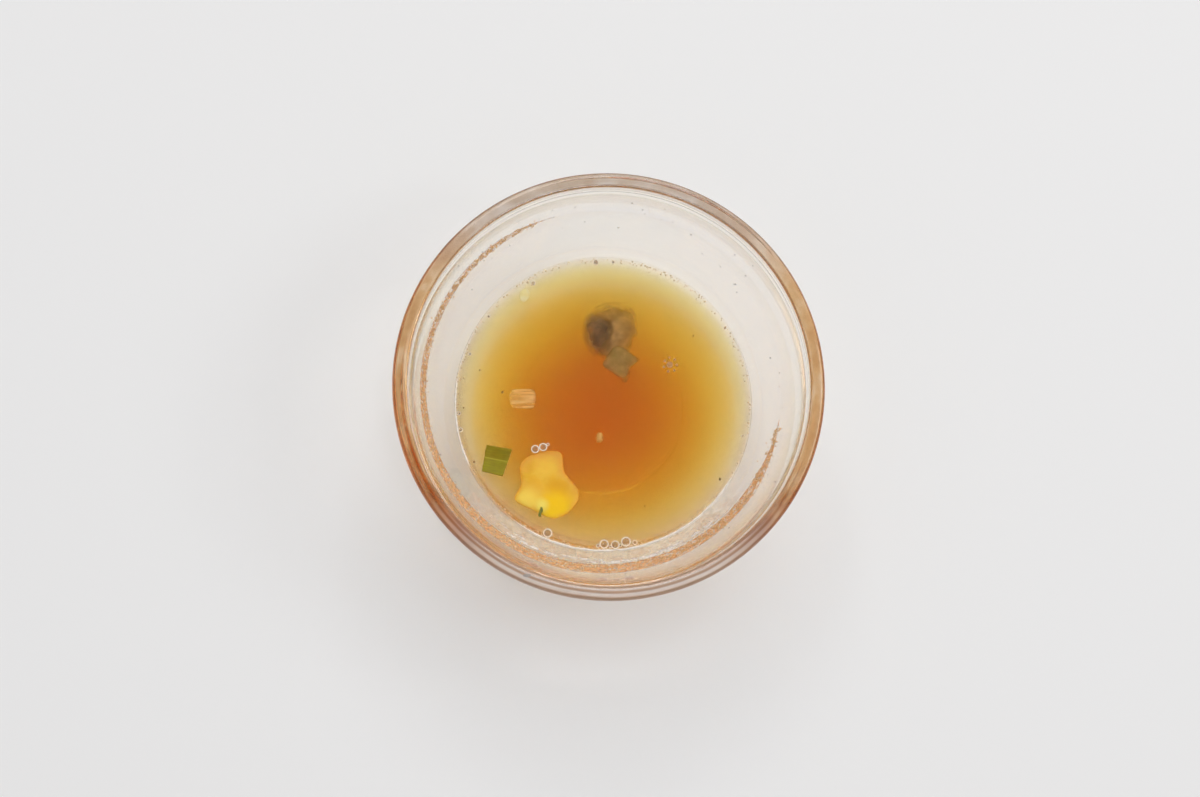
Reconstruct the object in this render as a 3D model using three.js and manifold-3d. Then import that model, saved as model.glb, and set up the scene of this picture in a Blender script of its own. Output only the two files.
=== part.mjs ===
// A small clear glass bowl with a stacking collar under its rim, a third full of
// cloudy amber broth. A cut scallion leaf and a soft piece of egg float in it.
// Millimetres, +Z up. The origin is the middle of the plane that the foot stands on.
import * as THREE from 'three';
import { mergeVertices } from 'three/addons/utils/BufferGeometryUtils.js';
import Module from 'manifold-3d';

const wasm = await Module();
wasm.setup();

// Bowl. The inside is a sphere centred at the rim's level, with a flat bottom.
const RIM_DIAMETER = 120;
const HEIGHT = 57;
const INSIDE_RADIUS = 56;
const FLOOR_HEIGHT = 5;
const FLOOR_BLEND = 7;
const RIM_OUTER_ROUND = 1.9;
const RIM_INNER_ROUND = 1.5;
const COLLAR_HEIGHT = 8;
const COLLAR_TAPER = 0.4;
const COLLAR_STEP = 1.9;
const COLLAR_EDGE = 0.7;
const FOOT_DIAMETER = 48;
const FOOT_RING = 2.2;
const FOOT_EDGE = 1;
const FOOT_RECESS = 1;
const LATHE_SEGMENTS = 64;

// Broth, up to the level that shows.
const BROTH_LEVEL = 21;
const GAP = 0.3;

// Egg piece: its top lies at the surface, and its outline, from its centre, a little lower.
const EGG_CENTRE = [-16.9, -24.2];
const EGG_OUTLINE = [
  [10, -2.4], [5.6, 4.2], [4.5, 9.7], [-3, 9.4], [-7.2, 6.2], [-6.9, 0.6],
  [-8.7, -4], [-3.4, -7], [2.6, -9.5], [7.4, -7.2],
];
const EGG_WIDEST_LEVEL = 19.9;
const EGG_RISE = 0.9;
const EGG_DEPTH = 3.7;
const EGG_TILT = 0.02; // it lies lower towards +Y by this slope
const EGG_FULLNESS = 0.55; // under 1, the top and the bottom are flatter than a dome
const EGG_AROUND = 40;
const EGG_RINGS = 14;
const POCKET_RISE = 3;

// Green fleck that lies over the egg's near edge.
const FLECK_SIZE = [0.9, 2.9, 0.8];
const FLECK_CENTRE = [-18.15, -31.9, 21];
const FLECK_TURN = -0.14;

// Scallion leaf: four corners, folded into a low valley from side to side.
const LEAF_CORNERS = [[-35.2, -20.3], [-29.2, -21.7], [-26.5, -13.9], [-33.9, -12.6]];
const LEAF_THICKNESS = 0.5;
const LEAF_FOLD_AT = 0.54;
const LEAF_FOLD_RISE = 0.9;
const LEAF_WAVE = 0.12;
const LEAF_STEPS = 10;

const COLOURS = {
  glass: { color: 0xe9ecea, roughness: 0.03, metalness: 0, transparent: true, opacity: 0.35 },
  broth: { color: 0xc97714, roughness: 0.12, metalness: 0 },
  egg: { color: 0xe9bd3a, roughness: 0.35, metalness: 0 },
  leaf: { color: 0x6f8a1c, roughness: 0.4, metalness: 0 },
};

function mesh(name, geometry, look) {
  const part = new THREE.Mesh(geometry, new THREE.MeshStandardMaterial(look));
  part.name = name;
  return part;
}

// Merges shared corners and drops the flat triangles that a pole leaves.
function weld(geometry) {
  geometry.deleteAttribute('normal');
  geometry.deleteAttribute('uv');
  const welded = mergeVertices(geometry, 1e-4);
  const index = welded.index.array;
  const kept = [];
  for (let i = 0; i < index.length; i += 3) {
    const [a, b, c] = [index[i], index[i + 1], index[i + 2]];
    if (a !== b && b !== c && c !== a) kept.push(a, b, c);
  }
  welded.setIndex(kept);
  return welded;
}

function toSolid(geometry) {
  const welded = weld(geometry);
  return new wasm.Manifold(new wasm.Mesh({
    numProp: 3,
    vertProperties: new Float32Array(welded.attributes.position.array),
    triVerts: new Uint32Array(welded.index.array),
  }));
}

function fromSolid(solid) {
  const { vertProperties, triVerts } = solid.getMesh();
  const geometry = new THREE.BufferGeometry();
  geometry.setAttribute('position', new THREE.BufferAttribute(vertProperties, 3));
  geometry.setIndex(new THREE.BufferAttribute(triVerts, 1));
  geometry.computeVertexNormals();
  return geometry;
}

// Turns a profile of (radius, height) points about the Z axis.
function turned(profile) {
  const geometry = new THREE.LatheGeometry(profile, LATHE_SEGMENTS);
  geometry.rotateX(Math.PI / 2);
  return geometry;
}

function blend(from, corner, to, steps) {
  const [a, b, c] = [from, corner, to].map(([r, z]) => new THREE.Vector2(r, z));
  return new THREE.QuadraticBezierCurve(a, b, c).getPoints(steps);
}

// Points on a sphere about the axis, from one height to another, evenly by angle.
function spherePoints(radius, centreHeight, fromHeight, toHeight, steps) {
  const start = Math.asin((fromHeight - centreHeight) / radius);
  const end = Math.asin((toHeight - centreHeight) / radius);
  const at = (i) => start + (end - start) * i / steps;
  return Array.from({ length: steps + 1 }, (_, i) => new THREE.Vector2(
    radius * Math.cos(at(i)), centreHeight + radius * Math.sin(at(i))));
}

// The inside of the bowl from the middle of its floor up to a level, moved inwards by gap.
function insideProfile(level, gap, steps) {
  const radius = INSIDE_RADIUS - gap;
  const floor = FLOOR_HEIGHT + gap;
  const radiusAt = (height) => Math.sqrt(radius ** 2 - (HEIGHT - height) ** 2);
  const corner = radiusAt(floor);
  const blendTop = floor + FLOOR_BLEND * corner / radius;
  return [
    new THREE.Vector2(0, floor),
    ...blend([corner - FLOOR_BLEND, floor], [corner, floor], [radiusAt(blendTop), blendTop], 4),
    ...spherePoints(radius, HEIGHT, blendTop, level, steps).slice(1),
  ];
}

// The outside from the middle of the foot's recess up to the rim's inner round.
function outsideProfile() {
  const rim = RIM_DIAMETER / 2;
  const foot = FOOT_DIAMETER / 2;
  const collarFoot = rim - COLLAR_TAPER;
  const underCollar = HEIGHT - COLLAR_HEIGHT;
  const neck = collarFoot - COLLAR_STEP;
  const wallStart = foot + FOOT_EDGE;
  // A sphere about the axis that passes through the foot's edge and the neck.
  const centre = (neck ** 2 + underCollar ** 2 - wallStart ** 2 - FOOT_EDGE ** 2)
    / (2 * (underCollar - FOOT_EDGE));
  const radius = Math.hypot(neck, underCollar - centre);
  const crest = INSIDE_RADIUS + RIM_INNER_ROUND;
  return [
    new THREE.Vector2(0, FOOT_RECESS),
    ...blend([foot - FOOT_RING - 4, FOOT_RECESS], [foot - FOOT_RING - 1.5, FOOT_RECESS],
      [foot - FOOT_RING, 0], 3),
    ...blend([foot, 0], [foot + 0.5, 0], [wallStart, FOOT_EDGE], 3),
    ...spherePoints(radius, centre, FOOT_EDGE, underCollar - COLLAR_EDGE, 12).slice(1),
    ...blend([collarFoot - COLLAR_EDGE, underCollar - 0.2], [collarFoot, underCollar - 0.2],
      [collarFoot, underCollar + COLLAR_EDGE], 3),
    ...blend([rim, HEIGHT - RIM_OUTER_ROUND], [rim, HEIGHT],
      [rim - RIM_OUTER_ROUND, HEIGHT], 5),
    ...blend([crest, HEIGHT], [INSIDE_RADIUS, HEIGHT],
      [INSIDE_RADIUS, HEIGHT - RIM_INNER_ROUND], 4),
  ];
}

function bowl() {
  const inside = insideProfile(HEIGHT - RIM_INNER_ROUND, 0, 12).slice(0, -1).reverse();
  return turned([...outsideProfile(), ...inside]);
}

function brothUpToLevel() {
  const profile = insideProfile(BROTH_LEVEL, GAP, 7);
  return turned([...profile, new THREE.Vector2(0, BROTH_LEVEL)]);
}

// The egg's form, grown sideways by grow, from its depth up to its rise.
function eggForm(grow, rise, depth) {
  const corners = EGG_OUTLINE.map(([x, y]) => new THREE.Vector3(x, y, 0));
  const outline = new THREE.CatmullRomCurve3(corners, true, 'centripetal');
  const geometry = new THREE.SphereGeometry(1, EGG_AROUND, EGG_RINGS);
  geometry.rotateX(Math.PI / 2);
  const position = geometry.attributes.position;
  for (let i = 0; i < position.count; i += 1) {
    const [x, y, z] = [position.getX(i), position.getY(i), position.getZ(i)];
    const share = Math.hypot(x, y);
    const turn = Math.atan2(y, x) / (2 * Math.PI);
    const edge = outline.getPoint((turn + 1) % 1);
    const wide = share * (1 + grow / edge.length());
    const height = Math.sign(z) * Math.abs(z) ** EGG_FULLNESS * (z > 0 ? rise : depth);
    position.setXYZ(i, EGG_CENTRE[0] + edge.x * wide, EGG_CENTRE[1] + edge.y * wide,
      EGG_WIDEST_LEVEL + height - EGG_TILT * edge.y * wide);
  }
  return geometry;
}

function fleck(grow = 0) {
  const [width, length, height] = FLECK_SIZE.map((size) => size + 2 * grow);
  const geometry = new THREE.BoxGeometry(width, length, height, 1, 2, 1);
  geometry.rotateZ(FLECK_TURN);
  geometry.translate(...FLECK_CENTRE);
  return geometry;
}

// Both faces of the leaf follow one sheet, LEAF_THICKNESS apart, with the same triangles.
function leaf() {
  const corners = LEAF_CORNERS.map(([x, y]) => new THREE.Vector2(x, y));
  const points = [];
  const index = [];
  const row = LEAF_STEPS + 1;
  const sheet = row * row;
  for (const lift of [0, LEAF_THICKNESS]) {
    for (let j = 0; j < row; j += 1) {
      for (let i = 0; i < row; i += 1) {
        const [u, v] = [i / LEAF_STEPS, j / LEAF_STEPS];
        const near = corners[0].clone().lerp(corners[1], u);
        const place = near.lerp(corners[3].clone().lerp(corners[2], u), v);
        const fold = LEAF_FOLD_RISE * Math.abs(v - LEAF_FOLD_AT) ** 1.3;
        const wave = LEAF_WAVE * (1 + Math.sin(7 * u + 3 * v));
        points.push(place.x, place.y, BROTH_LEVEL + GAP + lift + fold + wave);
      }
    }
  }
  const quad = (a, b, c, d) => index.push(a, b, c, a, c, d);
  for (let j = 0; j < LEAF_STEPS; j += 1) {
    for (let i = 0; i < LEAF_STEPS; i += 1) {
      const a = j * row + i;
      const corner = [a, a + 1, a + 1 + row, a + row];
      index.push(corner[0], corner[2], corner[1], corner[0], corner[3], corner[2]);
      quad(...corner.map((k) => k + sheet));
    }
  }
  for (let i = 0; i < LEAF_STEPS; i += 1) {
    const far = LEAF_STEPS * row;
    quad(i, i + 1, i + 1 + sheet, i + sheet);
    quad(far + i + 1, far + i, far + i + sheet, far + i + 1 + sheet);
    quad((i + 1) * row, i * row, i * row + sheet, (i + 1) * row + sheet);
    quad(i * row + LEAF_STEPS, (i + 1) * row + LEAF_STEPS,
      (i + 1) * row + LEAF_STEPS + sheet, i * row + LEAF_STEPS + sheet);
  }
  const geometry = new THREE.BufferGeometry();
  geometry.setAttribute('position', new THREE.Float32BufferAttribute(points, 3));
  geometry.setIndex(index);
  geometry.computeVertexNormals();
  return geometry;
}

const egg = toSolid(eggForm(0, EGG_RISE, EGG_DEPTH)).add(toSolid(fleck()));
const pocket = toSolid(eggForm(GAP, POCKET_RISE, EGG_DEPTH + GAP)).add(toSolid(fleck(GAP)));
const broth = toSolid(brothUpToLevel()).subtract(pocket);

const object = new THREE.Group();
object.add(
  mesh('bowl', bowl(), COLOURS.glass),
  mesh('broth', fromSolid(broth), COLOURS.broth),
  mesh('egg_piece', fromSolid(egg), COLOURS.egg),
  mesh('scallion_leaf', leaf(), COLOURS.leaf),
);

export default object;
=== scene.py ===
"""A small clear glass bowl of cloudy amber broth, seen almost from above on a pale table."""
import math
import random

import bpy
from mathutils import Matrix, Vector, noise


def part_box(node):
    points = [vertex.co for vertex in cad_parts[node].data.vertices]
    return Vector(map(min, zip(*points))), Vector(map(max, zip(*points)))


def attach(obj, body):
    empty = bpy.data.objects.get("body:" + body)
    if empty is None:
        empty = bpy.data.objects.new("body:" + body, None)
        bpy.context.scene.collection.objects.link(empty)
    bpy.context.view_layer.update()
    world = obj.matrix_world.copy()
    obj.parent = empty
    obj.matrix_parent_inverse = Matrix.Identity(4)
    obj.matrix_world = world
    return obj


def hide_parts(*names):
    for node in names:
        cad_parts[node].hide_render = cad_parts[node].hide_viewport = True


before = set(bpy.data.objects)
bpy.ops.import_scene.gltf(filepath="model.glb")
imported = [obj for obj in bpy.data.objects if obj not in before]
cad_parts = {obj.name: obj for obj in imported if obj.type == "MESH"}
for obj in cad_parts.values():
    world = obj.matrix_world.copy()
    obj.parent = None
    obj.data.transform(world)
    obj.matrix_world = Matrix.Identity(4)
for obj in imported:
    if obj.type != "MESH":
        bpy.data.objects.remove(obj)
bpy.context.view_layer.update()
MM = 0.001

# The bowl, from the frame. Its inside is a sphere centred at the rim's level.
BOWL_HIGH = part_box("bowl")[1]
BROTH_LOW, BROTH_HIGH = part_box("broth")
RIM_RADIUS = BOWL_HIGH[0]
HEIGHT = BOWL_HIGH[2]
LEVEL = BROTH_HIGH[2]
GAP = 0.3 * MM  # between neighbours, as in the frame
FLOOR_HEIGHT = BROTH_LOW[2] - GAP
INSIDE_RADIUS = RIM_RADIUS - 4 * MM
FLOOR_BLEND = 7 * MM
RIM_OUTER_ROUND = 1.9 * MM
RIM_INNER_ROUND = 1.5 * MM
COLLAR_HEIGHT = 8 * MM
COLLAR_TAPER = 0.4 * MM
COLLAR_STEP = 1.9 * MM
COLLAR_EDGE = 0.7 * MM
FOOT_RADIUS = 24 * MM
FOOT_RING = 2.2 * MM
FOOT_EDGE = 1 * MM
FOOT_RECESS = 1 * MM
AROUND = 320
GLASS_COLOUR = (1.0, 1.0, 1.0)

# The rim: painted light by noise on its sides and far side, for the broth's amber light that the thick
# glass leads up to it, and painted highlights in pale lines across its near side.
RIM_PAINTED_LIGHT_DEPTH = 2.4 * MM
RIM_SIDE_PAINTED_LIGHT = ((0.36, (0.44, 0.14, 0.025)), (0.50, (0.54, 0.21, 0.05)), (0.66, (0.70, 0.38, 0.15)))
RIM_FAR_PAINTED_LIGHT = ((0.36, (0.36, 0.22, 0.13)), (0.50, (0.42, 0.28, 0.19)), (0.66, (0.54, 0.42, 0.34)))
RIM_NEAR_PAINTED_LIGHT = (0.95, 0.93, 0.92)
RIM_INSET = 0.15 * MM
# Painted highlights: pale lines where the rim's near side catches the light.
RIM_HIGHLIGHT_LINES = (  # radius in millimetres, and colour as on a screen
    (55.6, (255, 252, 248)), (56.0, (222, 196, 170)), (56.8, (214, 188, 164)),
    (57.2, (255, 253, 250)), (57.5, (222, 196, 172)), (57.9, (206, 178, 152)),
    (58.3, (255, 253, 250)), (58.9, (252, 244, 236)), (59.3, (216, 186, 158)),
    (59.9, (220, 190, 162)),
)
RIM_HIGHLIGHT_LINES_START, RIM_HIGHLIGHT_LINES_TURN = 108, 144  # clock angles in degrees

# The photograph's camera: it leans towards the picture's lower left.
PHOTO_LENS = 70.7
CAMERA_DISTANCE = 0.650
CAMERA_TILT = math.radians(9.4)
CAMERA_TURN = math.radians(-16.8)
CAMERA_AIM = Vector((-2.7 * MM, -4.3 * MM, HEIGHT))

# Broth: what it takes from red, green and blue light in a metre, and how it scatters.
BROTH_IOR = 1.34
BROTH_TAKES = (0.3, 17.0, 145.0)
HAZE_DENSITY = 60.0
HAZE_FORWARD = 0.3
# The cloud in the middle: the broth's deeper colour there, and painted shade where less light reaches
# under the bowl's middle.
CLOUD_TAKES = (8.4, 38.0, 150.0)
CLOUD_DENSITY = 200.0
CLOUD_FORWARD = 0.8
# The milky layer along the wall: the broth's milkiness, with painted light where its edge is lit more,
# most on the far side.
EDGE_DENSITY = 600.0
EDGE_THICKNESS = 3.4 * MM
EDGE_START, EDGE_FULL = 12 * MM, 38 * MM  # radii between which the edge haze thickens
CLOUD_REACH = 38 * MM
# Less on the far side, as painted light where that edge is lit more.
CLOUD_SHARES = (0.94, 0.68)  # how much of that it reaches on the near side and on the far side
WALL_OVERLAP = 0.05 * MM  # how far the broth reaches into the glass, so that no air shows
HAZE_INSET = 0.15 * MM
CREASE = 0.01 * MM  # how near to its edge the surface starts to be flat
MENISCUS_RISE = 0.5 * MM
MENISCUS_REACH = 0.8 * MM

# Egg piece and its fleck, as in the frame.
EGG_CENTRE = (-16.9 * MM, -24.2 * MM)
EGG_OUTLINE = (
    (10, -2.4), (5.6, 4.2), (4.5, 9.7), (-3, 9.4), (-7.2, 6.2), (-6.9, 0.6),
    (-8.7, -4), (-3.4, -7), (2.6, -9.5), (7.4, -7.2),
)
EGG_WIDEST_LEVEL = 19.9 * MM
EGG_RISE = 0.9 * MM
EGG_DEPTH = 3.7 * MM
EGG_TILT = 0.02
EGG_FULLNESS = 0.55
FLECK_SIZE = (0.9 * MM, 2.9 * MM, 0.8 * MM)
FLECK_CENTRE = (-18.15 * MM, -31.9 * MM, 21 * MM)
FLECK_TURN = -0.14
FILM = 0.12 * MM  # broth that covers the egg
RAGGED_GRAIN = 1.6 * MM  # lumps that make soft edges uneven

# Scallion leaf, as in the frame.
LEAF_CORNERS = ((-35.2, -20.3), (-29.2, -21.7), (-26.5, -13.9), (-33.9, -12.6))
LEAF_THICKNESS = 0.5 * MM
LEAF_FOLD_AT = 0.54
LEAF_FOLD_RISE = 0.9 * MM
LEAF_WAVE = 0.12 * MM
LEAF_STEPS = 48
LEAF_VEIN = 0.45 * MM

# Bubbles on the surface, and arcs of painted highlight along its edge, where the meniscus catches the
# light.
BUBBLES = (  # place and width in millimetres
    (-19.8, -13.6, 2.4), (-17.5, -13.0, 2.4), (-16.1, -12.2, 0.9),
    (-16.1, -38.0, 2.7), (0.2, -41.1, 2.7), (3.4, -41.3, 2.5), (6.5, -40.4, 2.9),
    (9.1, -40.6, 1.4), (-1.6, -41.6, 1.1), (4.9, -41.5, 0.9), (2.0, -41.9, 0.8),
    (-42.0, -3.3, 1.2), (-41.4, -8.1, 1.3), (-2.2, 41.9, 1.7), (2.9, 42.0, 1.0),
    (-20.6, 35.4, 1.4), (-38.9, 14.2, 0.9), (35.7, 22.6, 0.9), (-33.6, 25.4, 0.8),
    (40.6, -9.4, 0.8),
)
FAINT_BUBBLES = (
    (19.4, 11.5, 2.0), (18.0, 12.6, 0.9), (17.7, 10.9, 0.8), (19.0, 9.6, 0.9), (20.7, 9.9, 0.8),
    (21.5, 11.5, 0.9), (20.9, 13.1, 0.8), (19.3, 13.6, 0.7),
)
FROTH_BEADS = 1100
MENISCUS_HIGHLIGHT_ARCS = (  # clock angles in degrees and half a width in millimetres
    (114, 220, 0.32), (243, 280, 0.28), (283, 300, 0.12), (60, 84, 0.1),
)

# The tan ring on the wall, a painted reflection of the broth's beaded edge in the thick glass, and what is
# under it.
BAND_LEVEL = 34.8 * MM
BAND_SWING = 4.8 * MM
BAND_TOP = 340  # where it is highest, as a clock angle
BAND_START, BAND_END = 97, 344
BAND_HALF = 2.1 * MM
BAND_WIDEST = 200
BAND_DROPS = 2400
HAZE_START, HAZE_END = 112, 244
# Painted reflections of the windows in the near wall, as pale streaks.
PAINTED_REFLECTION_STREAKS = (  # clock angles, share of the way up to the ring and half a width in millimetres
    (134, 162, 0.7, 0.5), (152, 186, 0.8, 0.6), (178, 196, 0.6, 0.35), (196, 216, 0.75, 0.6),
    (206, 220, 0.5, 0.4),
)
WALL_DROPS = 90
# Water drops on the rim, partly white as a painted glint.
RIM_GLINT_DROPS = (  # clock angle, size in millimetres and squash
    (203, 0.9, (1.6, 0.7, 0.5)), (208, 0.5, (1.8, 0.6, 0.5)), (133, 0.6, (0.8, 1.2, 0.5)),
    (137, 0.35, (0.9, 1, 0.5)),
)
SPECKS = (  # place and size in millimetres
    (33.9, -22.0, 0.35), (-29.4, 3.1, 0.3), (-37.4, -17.4, 0.28), (-36.0, 9.5, 0.2),
    (-40.6, -1.6, 0.2), (12.0, -30.0, 0.2), (26.4, 20.2, 0.2),
)

# Light: a table, a sky by the sine of its height, and two windows.
TABLE_COLOUR = (0.90, 0.90, 0.90)
SKY_STRENGTH = 0.60
SKY_STOPS = (
    (0.0, (0.42, 0.39, 0.36)),
    (0.30, (0.50, 0.46, 0.43)),
    (0.60, (0.84, 0.84, 0.85)),
    (0.86, (1.6, 1.6, 1.6)),
    (0.965, (0.42, 0.42, 0.44)),
)
WINDOWS = (  # name, azimuth, elevation, size in metres and power in watts
    ("window_far", 90, 52, (1.4, 1.1), 19.0),
    ("window_right", 5, 47, (1.1, 0.9), 10.0),
)
WINDOW_DISTANCE = 2.5
TABLE_REACH = 3.0
TABLE_LEVEL = -0.3 * MM
LIGHT_BOUNCES = 256  # fewer leave the cloudy broth too dark


# ---- small tools

def srgb(red, green, blue):
    """A linear colour from one given as on a screen, 0 to 255."""
    shares = [value / 255 for value in (red, green, blue)]
    return tuple(s / 12.92 if s <= 0.04045 else ((s + 0.055) / 1.055) ** 2.4 for s in shares)


def clock(angle):
    """The direction of an angle in degrees, clockwise from the far side as the camera sees it."""
    return math.sin(math.radians(angle)), math.cos(math.radians(angle))


def smooth(value, low, high):
    """0 below low and 1 above high, with a smooth ramp between."""
    t = min(max((value - low) / (high - low), 0), 1)
    return t * t * (3 - 2 * t)


def wobble(x, y, z, size, seed=0):
    """Smooth noise from -1 to 1 with lumps of about that size."""
    return noise.noise(Vector((x / size + 17.3 * seed, y / size - 9.1 * seed, z / size)))


def joined(bodies):
    """The points and faces of several bodies as one."""
    points, faces = [], []
    for more, sides in bodies:
        first = len(points)
        points += more
        faces += [[first + k for k in side] for side in sides]
    return points, faces


def piece(name, body, look, replaces=None):
    """An object of a body's points and faces, on the part's one body."""
    points, faces = body
    mesh = bpy.data.meshes.new(name)
    mesh.from_pydata([tuple(p) for p in points], [], faces)
    mesh.materials.append(look)
    mesh.polygons.foreach_set("use_smooth", [True] * len(mesh.polygons))
    mesh.update()
    made = bpy.data.objects.new(name, mesh)
    bpy.context.scene.collection.objects.link(made)
    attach(made, "root")
    if replaces:
        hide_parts(replaces)


def closed_rings(rings, low, high):
    """Points and faces of a closed skin over rings of equal length, between a low and a high pole."""
    around = len(rings[0])
    points = [low] + [p for ring in rings for p in ring] + [high]
    last = len(points) - 1
    faces = []
    for k in range(around):
        n = (k + 1) % around
        faces.append((0, 1 + n, 1 + k))
        for ring in range(len(rings) - 1):
            a, b = 1 + ring * around, 1 + (ring + 1) * around
            faces.append((a + k, a + n, b + n, b + k))
        top = 1 + (len(rings) - 1) * around
        faces.append((top + k, top + n, last))
    return points, faces


def ring_centres(rings):
    """The middles of the first ring and the last."""
    return [tuple(sum(p[j] for p in ring) / len(ring) for j in range(3)) for ring in (rings[0], rings[-1])]


def circle(radius, height, around=AROUND):
    """A level ring of points about the axis."""
    turns = [2 * math.pi * k / around for k in range(around)]
    return [(radius * math.cos(a), radius * math.sin(a), height) for a in turns]


def turned(profile, around=AROUND):
    """A closed skin turned about Z from (radius, height) points that start and end on the axis."""
    rings = [circle(*row, around) for row in profile[1:-1]]
    return closed_rings(rings, (0, 0, profile[0][1]), (0, 0, profile[-1][1]))


def hoop(rows):
    """The points and faces of a skin over rows of points, closed both along and across them."""
    row = len(rows[0])
    faces = []
    for k in range(len(rows)):
        a, b = k * row, (k + 1) % len(rows) * row
        for i in range(row):
            n = (i + 1) % row
            faces.append((a + i, b + i, b + n, a + n))
    return [p for line in rows for p in line], faces


def ball(centre, radius, squash=(1, 1, 1), around=10, rows=6):
    """A small ellipsoid."""
    x, y, z = centre
    long, wide, high = (radius * s for s in squash)
    turns = [2 * math.pi * k / around for k in range(around)]
    rings = []
    for row in range(1, rows):
        share, lift = math.sin(math.pi * row / rows), -math.cos(math.pi * row / rows)
        rings.append([(x + long * share * math.cos(a), y + wide * share * math.sin(a), z + high * lift)
                      for a in turns])
    return closed_rings(rings, (x, y, z - high), (x, y, z + high))


def blend(start, corner, end, steps):
    """A quadratic curve of (radius, height) points."""
    rows = []
    for i in range(steps + 1):
        t = i / steps
        rows.append(tuple((1 - t) ** 2 * a + 2 * t * (1 - t) * b + t * t * c
                          for a, b, c in zip(start, corner, end)))
    return rows


def sphere_points(radius, centre, low, high, steps):
    """Points on a sphere about the axis, from one height to another."""
    start, end = math.asin((low - centre) / radius), math.asin((high - centre) / radius)
    angles = [start + (end - start) * i / steps for i in range(steps + 1)]
    return [(radius * math.cos(a), centre + radius * math.sin(a)) for a in angles]


def closed_curve(corners, steps):
    """A centripetal curve through the corners and back, as (x, y) points evenly by share."""
    points = []
    count = len(corners)
    for i in range(steps):
        place = i / steps * count
        k = int(place)
        t = place - k
        p = [Vector(corners[(k + j) % count]) for j in (-1, 0, 1, 2)]
        d = [max((p[j + 1] - p[j]).length_squared ** 0.25, 1e-9) for j in range(3)]
        m1 = ((p[1] - p[0]) / d[0] - (p[2] - p[0]) / (d[0] + d[1]) + (p[2] - p[1]) / d[1]) * d[1]
        m2 = ((p[2] - p[1]) / d[1] - (p[3] - p[1]) / (d[1] + d[2]) + (p[3] - p[2]) / d[2]) * d[1]
        points.append(p[1] * (2 * t ** 3 - 3 * t ** 2 + 1) + m1 * (t ** 3 - 2 * t ** 2 + t)
                      + p[2] * (3 * t ** 2 - 2 * t ** 3) + m2 * (t ** 3 - t ** 2))
    return points


def lump(outline, centre, level, rise, depth, fullness=0.5, tilt=(0, 0), rough=0.0, size=2 * MM,
         around=96, rows=28, seed=1):
    """A closed body round an outline in millimetres, flatter on top the lower its fullness is."""
    edge = [p * MM for p in closed_curve(outline, around)]
    rings = []
    for row in range(1, rows):
        turn = math.pi * row / rows
        share, up = math.sin(turn), -math.cos(turn)
        height = math.copysign(abs(up) ** fullness, up) * (rise if up > 0 else depth)
        ring = []
        for p in edge:
            x, y = p * share
            swell = wobble(x, y, height, size, seed)
            z = height - tilt[0] * x - tilt[1] * y + rough * swell * (1 if up > 0 else 0.5)
            grow = 1 + 0.5 * rough * swell / max(p.length, MM)
            ring.append((centre[0] + x * grow, centre[1] + y * grow, level + z))
        rings.append(ring)
    low = (centre[0], centre[1], level - depth + rough * wobble(0, 0, -depth, size, seed) * 0.5)
    high = (centre[0], centre[1], level + rise + rough * wobble(0, 0, rise, size, seed))
    return closed_rings(rings, low, high)


def wall_radius(height, inset=0.0):
    return math.sqrt((INSIDE_RADIUS - inset) ** 2 - (HEIGHT - height) ** 2)


def wall_point(angle, height, inset):
    """A place just inside the bowl's wall, by clock angle and height."""
    x, y = clock(angle)
    radius = wall_radius(height, inset)
    return Vector((radius * x, radius * y, height))


def slab(low, high):
    """A closed sheet between two grids of points, high to the left of a walk along its first row."""
    rows, row = len(low), len(low[0])
    sheet = rows * row
    points = [p for grid in (low, high) for line in grid for p in line]
    faces = []
    for j in range(rows - 1):
        for i in range(row - 1):
            a = j * row + i
            faces.append((a + row, a + row + 1, a + 1, a))
            faces.append(tuple(k + sheet for k in (a, a + 1, a + row + 1, a + row)))
    last = (rows - 1) * row
    for i in range(row - 1):
        faces.append((i, i + 1, i + 1 + sheet, i + sheet))
        faces.append((last + i + 1, last + i, last + i + sheet, last + i + 1 + sheet))
    for j in range(rows - 1):
        a, b = j * row, (j + 1) * row
        faces.append((b, a, a + sheet, b + sheet))
        faces.append((a + row - 1, b + row - 1, b + row - 1 + sheet, a + row - 1 + sheet))
    return points, faces


def wall_film(start, end, low, high, inset, thickness, steps=240, rows=8):
    """A thin closed sheet on the wall between two heights, which depend on the clock angle."""
    sheets = []
    for layer in (inset, inset + thickness):
        grid = []
        for j in range(rows + 1):
            line = []
            for i in range(steps + 1):
                angle = start + (end - start) * i / steps
                taper = max(min(1, 12 * i / steps, 12 * (1 - i / steps)), 0.05)
                middle, half = (low(angle) + high(angle)) / 2, (high(angle) - low(angle)) / 2
                line.append(wall_point(angle, middle + half * (2 * j / rows - 1) * taper, layer))
            grid.append(line)
        sheets.append(grid)
    return slab(*sheets)


# ---- materials

def material(name):
    made = bpy.data.materials.new(name)
    made.use_nodes = True
    made.node_tree.nodes.clear()
    out = made.node_tree.nodes.new("ShaderNodeOutputMaterial")
    return made, made.node_tree, out


def node(tree, kind, **inputs):
    made = tree.nodes.new(kind)
    for key, value in inputs.items():
        made.inputs[key.replace("_", " ")].default_value = value
    return made


def socket(made, name, kind, out=False):
    """The input or output of a node that has that name and type."""
    side = made.outputs if out else made.inputs
    return next(s for s in side if s.name == name and s.type == kind)


def feed(tree, into, value):
    """Gives an input a number, a colour or the output of another node."""
    if isinstance(value, bpy.types.NodeSocket):
        tree.links.new(value, into)
    elif into.type == "RGBA":
        into.default_value = (*value, 1)
    else:
        into.default_value = value


def principled(tree, out, colour=(1, 1, 1), **inputs):
    """A Principled shader linked to the surface."""
    shader = node(tree, "ShaderNodeBsdfPrincipled", **inputs)
    feed(tree, shader.inputs["Base Color"], colour)
    tree.links.new(shader.outputs[0], out.inputs["Surface"])
    return shader


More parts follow.
